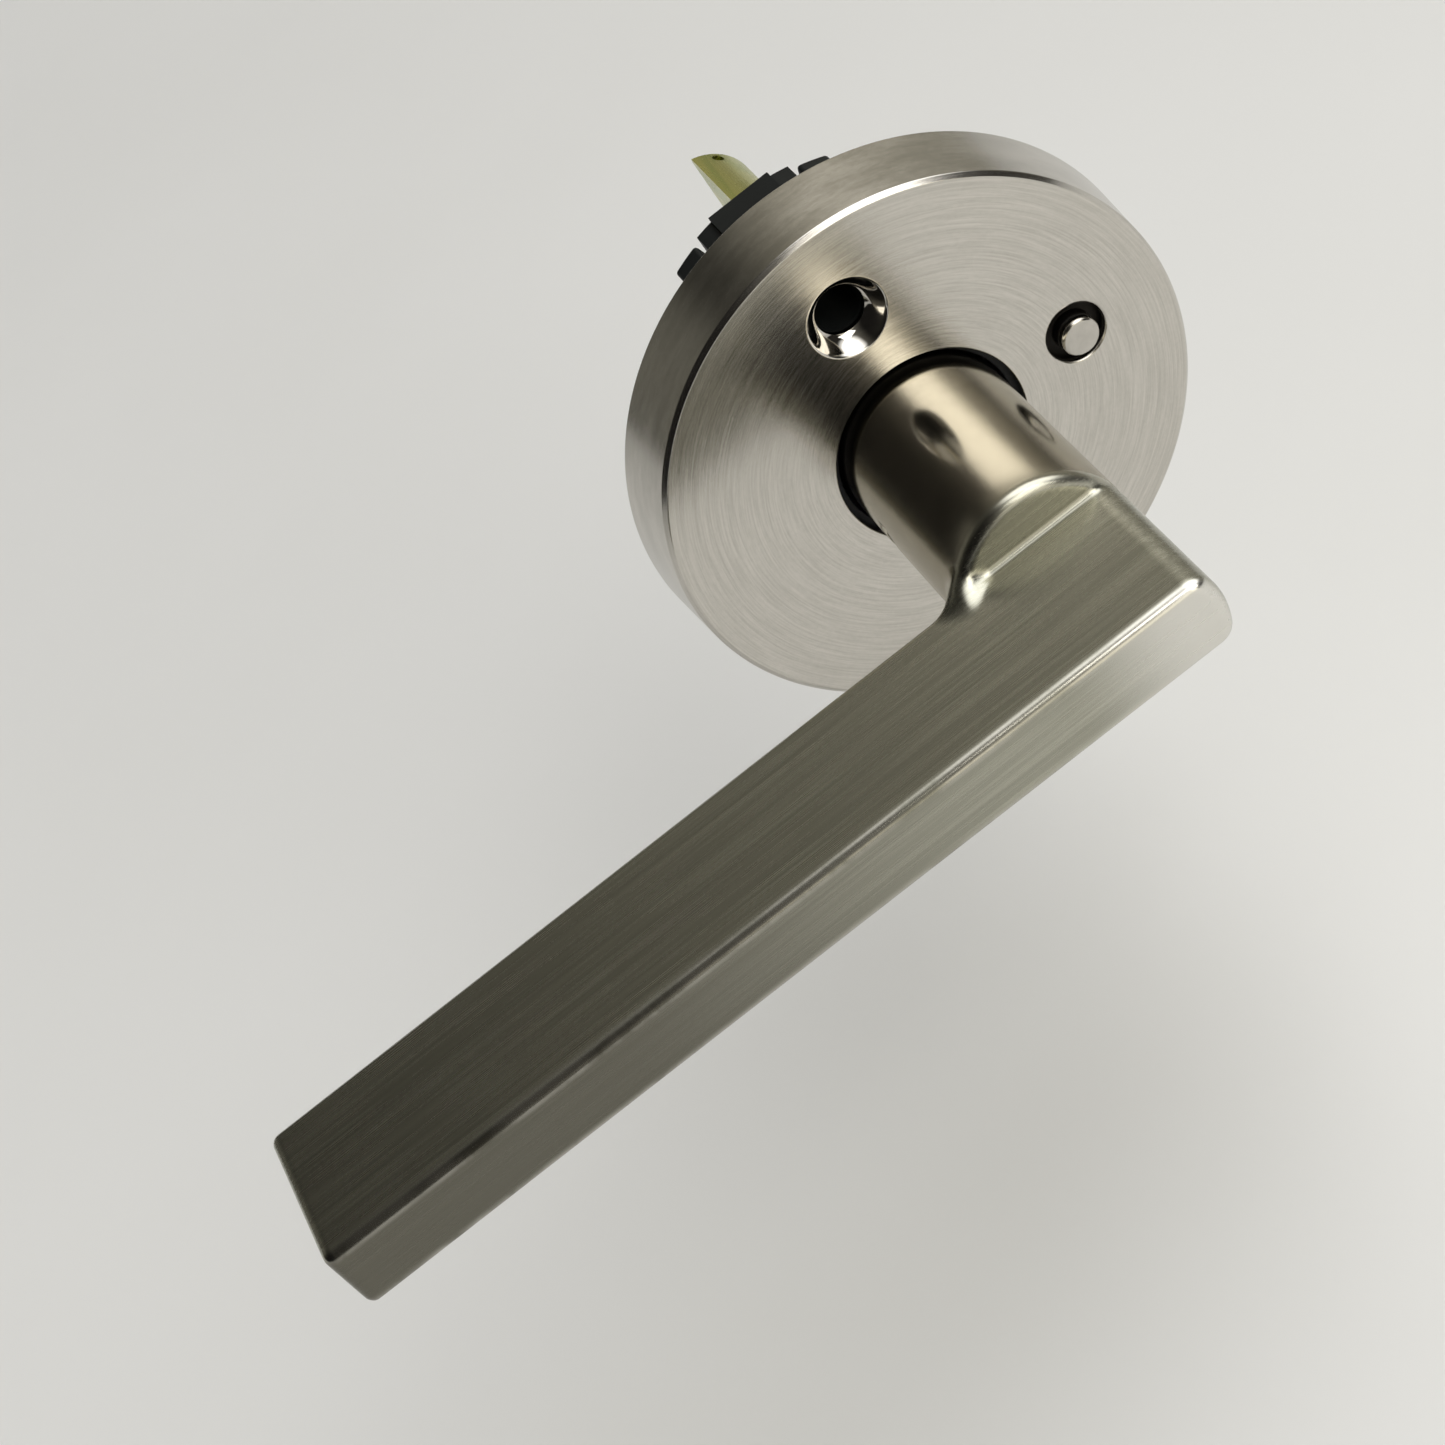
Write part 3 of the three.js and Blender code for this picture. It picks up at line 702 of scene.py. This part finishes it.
def lever_distance(points):
    """Signed distance from the lever's surface, negative inside, for an array of points in millimetres."""
    x, y, z = points[:, 0], points[:, 1], points[:, 2]
    from_axis = np.hypot(x, z)
    height = np.abs(z) - BLADE_HALF
    head = np.where(x > 0, from_axis, np.abs(z)) - NECK_R
    slab = meet_round(height, BLADE_FRONT - y, 1.3)
    slab = meet_round(slab, head, 1.7)
    slab = meet_round(slab, BLADE_TIP - x, 1.2)
    blade = meet_round(slab, y - NECK_END, 1.3)
    core = np.maximum(np.maximum(slab, y - (NECK_END + 3)), from_axis - NECK_R)
    neck = meet_round(from_axis - NECK_R, NECK_END - y, 1.3)
    neck = meet_round(neck, y - NECK_START, 0.4)
    share = np.clip((-x - 5.5) / 4.5, 0, 1)
    fillet = 1.3 + 2.9 * share * share * (3 - 2 * share)
    body = np.minimum(join_round(blade, neck, fillet), core)
    bore = meet_round(from_axis - NECK_BORE_R, NECK_BORE_END - y, 1.0)
    body = meet_round(body, -bore, 0.35)
    screw = np.maximum(np.hypot(y - SET_SCREW_Y, z) - 1.6, x)
    return meet_round(body, -screw, 0.3)


def lever_slope(points, step=0.02):
    """The direction away from the lever's surface at each point."""
    slope = np.empty_like(points)
    for axis in range(3):
        move = np.zeros(3)
        move[axis] = step
        slope[:, axis] = lever_distance(points + move) - lever_distance(points - move)
    return slope / np.maximum(np.linalg.norm(slope, axis=1, keepdims=True), 1e-9)


def lever_handle():
    """Evenly remeshed from the CAD lever, then drawn onto the exact rounded surface."""
    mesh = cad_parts["lever_handle"].data.copy()
    mesh.transform(Matrix.Scale(1 / MM, 4))
    piece = new_object("lever_handle_fine", mesh)
    modifier = piece.modifiers.new("even", "REMESH")
    modifier.mode = "VOXEL"
    modifier.voxel_size = 0.48
    baked(piece)
    points = np.empty(len(piece.data.vertices) * 3, np.float32)
    piece.data.vertices.foreach_get("co", points)
    points = points.reshape(-1, 3).astype(float)
    for _ in range(12):
        miss = lever_distance(points)[:, None]
        points -= np.clip(miss, -0.3, 0.3) * lever_slope(points) * 0.9
    piece.data.vertices.foreach_set("co", points.astype(np.float32).ravel())
    piece.data.update()
    return piece, lever_slope(points)


# ---- Chassis and its pieces ----
def screw_post(side):
    """One mounting post, with the raised rib on its outer side."""
    z0, z1 = sorted((side * POST_INNER, side * (RING_R + 1)))
    post = meet(
        block("post", -POST_HALF, POST_HALF, POST_FRONT, RING_END, z0, z1),
        rod("post_round", RING_R, POST_FRONT - 1, RING_END + 1, 160),
    )
    r0, r1 = sorted((side * (RING_R - 0.8), side * (RING_R + 0.3)))
    return join(post, block("rib", -4.2, 4.2, WALL_BACK, RING_END, r0, r1))


def locating_tabs():
    """The four chamfered tabs that centre the chassis in the door's bore."""
    tabs = []
    for side in (1, -1):
        for left in (-1, 1):
            middle = 90 * side + left * 20.3
            outline = sector_outline(RING_R - 2, RING_R, middle - 4.3, middle + 4.3, 8)
            tabs.append(bevelled(prism("tab", outline, WALL_BACK - 0.1, RING_END - 0.5), 0.7, 3, 50))
    return tabs


def stiffening_webs():
    """The thin webs between the chassis wall and its rim."""
    step = 360 / WEB_COUNT
    webs = []
    for i in range(WEB_COUNT):
        middle = step * i + step / 2
        outline = sector_outline(24.6, 29.8, middle - 1.5, middle + 1.5, 2)
        webs.append(prism("web", outline, WALL_BACK - 0.1, -1.2))
    return webs


def chassis():
    """The moulded body that everything else is fastened to."""
    body = ring("chassis_fine", HUB_WALL_INNER, CHASSIS_R, WALL_FRONT, WALL_BACK, 160)
    body = join(body, ring("rim", RIM_INNER, CHASSIS_R, WALL_FRONT + 0.1, -0.3, 160))
    body = join(body, ring("hub", HUB_WALL_INNER, HUB_WALL_OUTER, -7.6, -2.6, 96))
    body = join(body, screw_post(1), screw_post(-1), *locating_tabs(), *stiffening_webs())
    for x, z in PILLARS:
        body = join(body, rod("pillar", 2.4, WALL_BACK - 0.1, -0.6, 32, x, z))
    body = join(body, rod("boss", 5.0, WALL_FRONT + 0.01, -2.3, 48, BUTTON_X))
    body = join(body, prism("lug", sector_outline(15.6, 16.6, LUG_FROM, LUG_TO, 4), WALL_BACK - 0.1, LUG_END))
    body = cut(
        body,
        ring("spring_room", HUB_WALL_OUTER + 0.001, 15.5, WALL_BACK, 1, 96),
        rod("hub_bore", HUB_WALL_INNER + 0.001, -9, 20, 96),
        rod("pin_bore", BUTTON_R + GAP, -8, 0, 36, BUTTON_X),
        rod("spring_well", 4.3, -8, -3.8, 48, BUTTON_X),
    )
    for side in (1, -1):
        body = cut(body, rod("bolt_bore", SCREW_HOLE_R, -8, RING_END + 1, 48, 0, side * SCREW_Z))
    for x, z in PILLARS:
        body = cut(body, rod("screw_bore", PLATE_HOLE_R, -4.6, 0, 20, x, z))
    return bevelled(body, 0.18, 2, 40)


def neck_bushing():
    """The flanged bearing that the neck turns in."""
    inner = NECK_R + GAP
    outline = [(inner, -8.6), (13.8, -8.6), (13.8, -7.9), (12.3, -7.9), (12.3, -2.7), (inner, -2.7)]
    return turned("neck_bushing_fine", rounded(outline, [0.25, 0.2, 0.15, 0.15, 0.15, 0.15]), 144)


def cover_plate():
    """The pressed plate that closes the chassis."""
    plate = rod("cover_plate_fine", PLATE_R, PLATE_FRONT, PLATE_BACK, 160)
    plate = cut(plate, rod("hub_hole", DRIVER_R + 0.4, -2, 2, 96), rod("pin_hole", 2.2, -2, 2, 32, BUTTON_X))
    slot = POST_HALF + 0.4
    for side in (1, -1):
        z0, z1 = sorted((side * (POST_INNER - 0.4), side * 30))
        plate = cut(plate, block("post_slot", -slot, slot, -2, 2, z0, z1))
    for x, z in PILLARS:
        plate = cut(plate, rod("screw_hole", PLATE_HOLE_R, -2, 2, 24, x, z))
    return bevelled(plate, 0.15, 2, 40)


def plate_screw(index, x, z):
    """A pan-head screw with a cross recess."""
    name = f"plate_screw_{index}"
    top = high(name).y
    seat = PLATE_BACK + GAP
    shank = [(0, -4.2), (0.8, -4.2), (1.1, -3.9), (1.1, seat)]
    outline = shank + [(2.2, seat), (2.2, top - 0.45), (1.5, top), (0, top)]
    radii = [0, 0.1, 0.1, 0, 0.12, 0.3, 0.5, 0]
    screw = turned(name + "_fine", rounded(outline, radii), 48, x, z)
    for across, tall in ((1.3, 0.28), (0.28, 1.3)):
        screw = cut(screw, block("recess", x - across, x + across, top - 0.7, top + 1, z - tall, z + tall))
    return screw


def wave_washer():
    """A thin ring pressed into three waves."""
    bm = bmesh.new()
    count = 144
    outline = rounded([(9.5, 0.0), (13.0, 0.0), (13.0, 0.3), (9.5, 0.3)], [0.08] * 4, 2)
    loops = [loop_at(bm, 0, 0, r, y, count) for r, y in outline]
    for first, second in zip(loops, loops[1:] + loops[:1]):
        strip(bm, first, second)
    for v in bm.verts:
        v.co.y += 1.38 + 0.22 * math.cos(3 * math.atan2(v.co.z, v.co.x))
    return object_from_bmesh("wave_washer_fine", bm)


def retaining_ring():
    """An open ring with two eyes for pliers."""
    gap = 18
    y0, y1 = low("retaining_ring").y, high("retaining_ring").y
    clip = prism("retaining_ring_fine", sector_outline(8.5, 11.2, gap - 90, 270 - gap, 96), y0, y1)
    for degrees in (gap - 86, 266 - gap):
        x, z = 11.2 * math.cos(math.radians(degrees)), 11.2 * math.sin(math.radians(degrees))
        clip = join(clip, rod("eye", 1.5, y0, y1, 32, x, z))
        clip = cut(clip, rod("eye_hole", 0.7, y0 - 1, y1 + 1, 20, x, z))
    return bevelled(clip, 0.1, 2, 40)


def along(piece, axis):
    """Turns a piece made along Y to lie along X or Z."""
    turn = Matrix.Rotation(math.pi / 2, 4, "Z") if axis == "X" else Matrix.Rotation(math.pi / 2, 4, "X")
    piece.data.transform(turn)
    return piece


def moved(piece, x, y, z):
    """Shifts a piece's mesh."""
    piece.data.transform(Matrix.Translation((x, y, z)))
    return piece


def spindle_driver():
    """The die-cast core in the neck, with keys for the cam, a half-round socket and a ring groove."""
    core = rod("spindle_driver_fine", DRIVER_R, low("spindle_driver").y, DRIVER_END, 96, edge=0.4)
    core = join(core, block("keys", -10.2, 10.2, CAM_FRONT, CAM_BACK, -1.5, 1.5))
    core = cut(core, ring("groove", 8.2, DRIVER_R + 1, 2.0, 3.1, 96))
    socket = half_round_outline(SPINDLE_R + GAP, FOOT_FLAT - GAP)
    core = cut(core, prism("socket", socket, SPINDLE_START - GAP, DRIVER_END + 1))
    core = cut(core, moved(along(rod("pin_hole", 1.5, -12, 12, 24), "Z"), PIN_X, PIN_Y, 0))
    seat = moved(along(rod("seat", 1.6, -1.6, 1.6, 24), "X"), -8.4, SET_SCREW_Y, 0)
    return bevelled(cut(core, seat), 0.12, 2, 40)


def spindle():
    """A half-round bar with a thinner foot in the driver, a tapered end and a punched dimple."""
    shoulder = DRIVER_END + GAP
    bar = prism("spindle_fine", half_round_outline(SPINDLE_R, SPINDLE_FLAT), shoulder, SPINDLE_END)
    bar = join(bar, prism("foot", half_round_outline(SPINDLE_R, FOOT_FLAT), SPINDLE_START, shoulder + 1))
    nose = rounded([
        (0, SPINDLE_START - 1),
        (SPINDLE_R + 1, SPINDLE_START - 1),
        (SPINDLE_R + 1, SPINDLE_END - 2.0),
        (SPINDLE_R - 1, SPINDLE_END + 0.01),
        (0, SPINDLE_END + 0.01),
    ], [0, 0, 0, 0.8, 0])
    bar = meet(bar, turned("nose", nose, 96))
    dimple = along(rod("dimple", 0.8, SPINDLE_R - 0.8, SPINDLE_R + 1, 24), "Z")
    dimple.data.transform(Matrix.Rotation(math.radians(40), 4, "Y"))
    bar = cut(bar, moved(dimple, 0, SPINDLE_END - 2.4, 0))
    bar = cut(bar, moved(along(rod("pin_hole", 1.5, -9, 9, 24), "Z"), PIN_X, PIN_Y, 0))
    return bevelled(bar, 0.3, 3, 40)


def cam_plate():
    """A stamped cam, with an ear toward the button and a bent tab beside the spring's rear leg."""
    plate = rod("cam_plate_fine", 13, CAM_FRONT, CAM_BACK)
    plate = join(plate, prism("ear", sector_outline(10, high("cam_plate").x, -7, 7), CAM_FRONT, CAM_BACK))
    plate = join(plate, prism("arm", sector_outline(10, 18, LUG_FROM, LUG_TO), CAM_FRONT, CAM_BACK))
    tab = sector_outline(16.9, 18, LUG_FROM, LUG_TO)
    plate = join(plate, prism("tab", tab, low("cam_plate").y, CAM_BACK))
    plate = cut(plate, rod("hub_hole", DRIVER_R + GAP, -3, 0, 96))
    plate = cut(plate, block("slot", -10.5, 10.5, -3, 0, -1.8, 1.8))
    return bevelled(cut(plate, rod("lock_hole", 1.9, -3, 0, 48, BUTTON_X)), 0.12, 2, 40)


def spindle_pin():
    """The plain pin across the driver and the spindle."""
    end = high("spindle_pin").z
    return moved(along(rod("spindle_pin_fine", 1.2, -end, end, 48, edge=0.2), "Z"), PIN_X, PIN_Y, 0)


def lock_pin():
    """A stepped pin in the button's bore, chamfered to find the cam's hole."""
    start, end = low("lock_pin").y, high("lock_pin").y
    step = high("privacy_button").y + GAP
    outline = [(0, start), (0.9, start), (0.9, step), (1.6, step), (1.6, end - 0.35), (1.3, end), (0, end)]
    return turned("lock_pin_fine", rounded(outline, [0, 0.1, 0.05, 0.12, 0.12, 0.12, 0]), 48, BUTTON_X)


def privacy_button():
    """The push button with its collar."""
    collar = low("privacy_button").y + 2.7
    end = high("privacy_button").y
    outline = [
        (0, BUTTON_TIP),
        (BUTTON_R, BUTTON_TIP),
        (BUTTON_R, collar),
        (COLLAR_R, collar),
        (COLLAR_R, collar + 0.8),
        (BUTTON_R, collar + 0.8),
        (BUTTON_R, end),
        (1.2, end),
        (1.2, end - 2),
        (0, end - 2),
    ]
    radii = [0, 0.45, 0.1, 0.15, 0.15, 0.1, 0.2, 0.1, 0, 0]
    return turned("privacy_button_fine", rounded(outline, radii), 64, BUTTON_X)


def set_screw():
    """A headless screw with a hexagon socket."""
    outline = rounded([(0, -1.3), (1.3, -1.3), (1.3, 1.7), (0, 1.7)], [0, 0.2, 0.25, 0])
    screw = turned("lever_set_screw_fine", outline, 48)
    screw = along(cut(screw, rod("socket", 0.7, 0.7, 3, 6)), "X")
    return moved(screw, low("lever_set_screw").x + 1.7, SET_SCREW_Y, 0)


def return_spring():
    """Two turns of wire, a leg at each end."""
    leg, bend, steps = 8, 5, 180
    y0, y1 = -4.75, -2.7
    start, end = 180 + leg + bend, 180 - leg - bend + 720

    def at(radius, degrees, y):
        return (radius * math.cos(math.radians(degrees)), y, radius * math.sin(math.radians(degrees)))

    points = [at(18.4, 180 + leg, y0), at(17.2, 180 + leg, y0), at(16.1, 180 + leg, y0)]
    points += [at(15.4, 180 + leg + 0.7, y0), at(14.9, 180 + leg + 2.4, y0)]
    for i in range(steps + 1):
        share = i / steps
        points.append(at(14.7, start + (end - start) * share, y0 + (y1 - y0) * share))
    points += [at(14.9, 180 - leg - 2.4, y1), at(15.4, 180 - leg - 0.7, y1)]
    points += [at(16.1, 180 - leg, y1), at(17.2, 180 - leg, y1), at(18.4, 180 - leg, y1)]
    return wire_mesh("return_spring_fine", points, 0.45)


def button_spring():
    """A small compression spring round the button's shank."""
    y0, y1 = low("button_spring").y + 0.25, high("button_spring").y - 0.25
    turns, steps = 3.5, 140
    points = []
    for i in range(steps + 1):
        angle = 2 * math.pi * turns * i / steps
        points.append((BUTTON_X + 3.35 * math.cos(angle), y0 + (y1 - y0) * i / steps, 3.35 * math.sin(angle)))
    return wire_mesh("button_spring_fine", points, 0.25, 10)


# ---- Stage ----
def floor(paint):
    """A wide pale floor, below the lever's lowest reach."""
    bm = bmesh.new()
    bmesh.ops.create_grid(bm, x_segments=4, y_segments=4, size=3.0)
    mesh = bpy.data.meshes.new("floor")
    bm.to_mesh(mesh)
    bm.free()
    piece = new_object("floor", mesh)
    reach = -BLADE_TIP * MM * math.sin(math.radians(45))
    piece.location.z = -reach - 0.012
    mesh.materials.append(paint)


def area_light(name, place, target, width, height, power, colour):
    """A soft box that looks at a point."""
    data = bpy.data.lights.new(name, "AREA")
    data.shape = "RECTANGLE"
    data.size = width
    data.size_y = height
    data.energy = power
    data.color = colour
    lamp = bpy.data.objects.new(name, data)
    lamp.location = place
    lamp.rotation_euler = (Vector(target) - Vector(place)).to_track_quat("-Z", "Y").to_euler()
    bpy.context.scene.collection.objects.link(lamp)


def glow(sky, direction, inner, outer):
    """A soft round patch of sky: 1 within the inner angle of a direction, 0 beyond the outer one."""
    dot = sky.node("ShaderNodeVectorMath", operation="DOT_PRODUCT")
    sky.link(sky.place, dot.inputs[0])
    dot.inputs[1].default_value = Vector(direction).normalized()
    return sky.between(dot.outputs["Value"], math.cos(math.radians(outer)), math.cos(math.radians(inner)))


def surroundings():
    """A dim room with a pale ceiling, and a tall window behind and to the right."""
    world = bpy.data.worlds.new("room")
    bpy.context.scene.world = world
    world.use_nodes = True
    sky = Nodes(world.node_tree, "Generated")
    behind = sky.mix(sky.between(sky.x, -0.28, 0.35), (0.05, 0.048, 0.04), (0.48, 0.455, 0.375))
    behind = sky.mix(glow(sky, (-0.66, 0.68, 0.28), 10, 28), behind, (0.17, 0.165, 0.14))
    behind = sky.mix(sky.between(sky.x, 0.35, 0.9), behind, (0.30, 0.29, 0.25))
    front = sky.mix(sky.between(sky.x, -0.4, 0.3), (0.014, 0.013, 0.012), (0.20, 0.19, 0.165))
    front = sky.mix(sky.between(sky.x, 0.42, 0.62), front, (0.03, 0.028, 0.024))
    front = sky.mix(glow(sky, (0.28, -0.94, 0.17), 8, 24), front, (1.5, 1.42, 1.22))
    colour = sky.mix(sky.between(sky.y, -0.3, 0.3), front, behind)
    colour = sky.mix(glow(sky, (0.52, 0.05, 0.86), 16, 37), colour, (3.0, 3.0, 3.0))
    sky.link(colour, world.node_tree.nodes["Background"].inputs["Color"])


def camera():
    """The viewpoint: a long lens, from the front and above, rolled clockwise."""
    data = bpy.data.cameras.new("camera")
    data.sensor_width = 36.0
    data.lens = 79.7
    data.clip_start = 0.01
    eye = bpy.data.objects.new("camera", data)
    right = Vector((0.7876, -0.3800, -0.4850)).normalized()
    ahead = Vector((-0.0243, 0.7674, -0.6407))
    ahead = (ahead - right * ahead.dot(right)).normalized()
    up = right.cross(ahead)
    turn = Matrix((right, up, -ahead)).transposed().to_4x4()
    eye.matrix_world = Matrix.Translation((-0.02915, -0.29264, 0.22298)) @ turn
    bpy.context.scene.collection.objects.link(eye)
    bpy.context.scene.camera = eye


# ---- Putting it together ----
camera()
surroundings()
area_light("key", (0.31, -0.51, 0.49), (0, -0.02, 0), 0.52, 0.46, 2.45, (1.0, 0.98, 0.93))
bpy.context.scene.view_settings.view_transform = "Standard"
floor(floor_paint())

rose_look = satin_rose()
lever_look = satin_lever()
button_look = polished_nickel()
black = nylon("black_nylon", (0.007, 0.008, 0.008), 0.42)
bushing_black = nylon("bushing_nylon", (0.010, 0.010, 0.011), 0.34)
gold = yellow_zinc()
plate_steel = plated_steel("plated_steel", (0.62, 0.64, 0.66), 0.34, 0.2)
screw_steel = plated_steel("screw_steel", (0.58, 0.59, 0.60), 0.3, 0.16)
spring_steel = plated_steel("spring_steel", (0.30, 0.31, 0.32), 0.34, 0.12)
cast = plated_steel("cast_zinc", (0.42, 0.43, 0.44), 0.5, 0.2)

placed(rose_cover(), rose_look, "rose", "body", "rose_cover")
lever, lever_normals = lever_handle()
placed(lever, lever_look, "lever", "lever", "lever_handle", smooth=0)
lever.data.shade_smooth()
lever.data.normals_split_custom_set_from_vertices(lever_normals.tolist())
placed(privacy_button(), button_look, "button", "button", "privacy_button")
placed(chassis(), black, "black_nylon", "body", "chassis")
placed(neck_bushing(), bushing_black, "bushing_nylon", "body", "neck_bushing")
placed(cover_plate(), plate_steel, "zinc_plate", "body", "cover_plate")
for number, (screw_x, screw_z) in enumerate(PILLARS, 1):
    placed(plate_screw(number, screw_x, screw_z), screw_steel, "screw_steel", "body", f"plate_screw_{number}")
placed(wave_washer(), spring_steel, "spring_steel", "body", "wave_washer")
placed(retaining_ring(), spring_steel, "spring_steel", "lever", "retaining_ring")
placed(spindle_driver(), cast, "cast_zinc", "lever", "spindle_driver")
placed(spindle(), gold, "yellow_zinc", "lever", "spindle")
placed(set_screw(), screw_steel, "screw_steel", "lever", "lever_set_screw")
coil = placed(return_spring(), spring_steel, "spring_steel", None, "return_spring", smooth=50)
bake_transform(coil)
push_coil = placed(button_spring(), spring_steel, "spring_steel", None, "button_spring", smooth=50)
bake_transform(push_coil)

placed(cam_plate(), plate_steel, "zinc_plate", "lever", "cam_plate")
placed(spindle_pin(), spring_steel, "spring_steel", "lever", "spindle_pin")
placed(lock_pin(), screw_steel, "screw_steel", "button", "lock_pin")
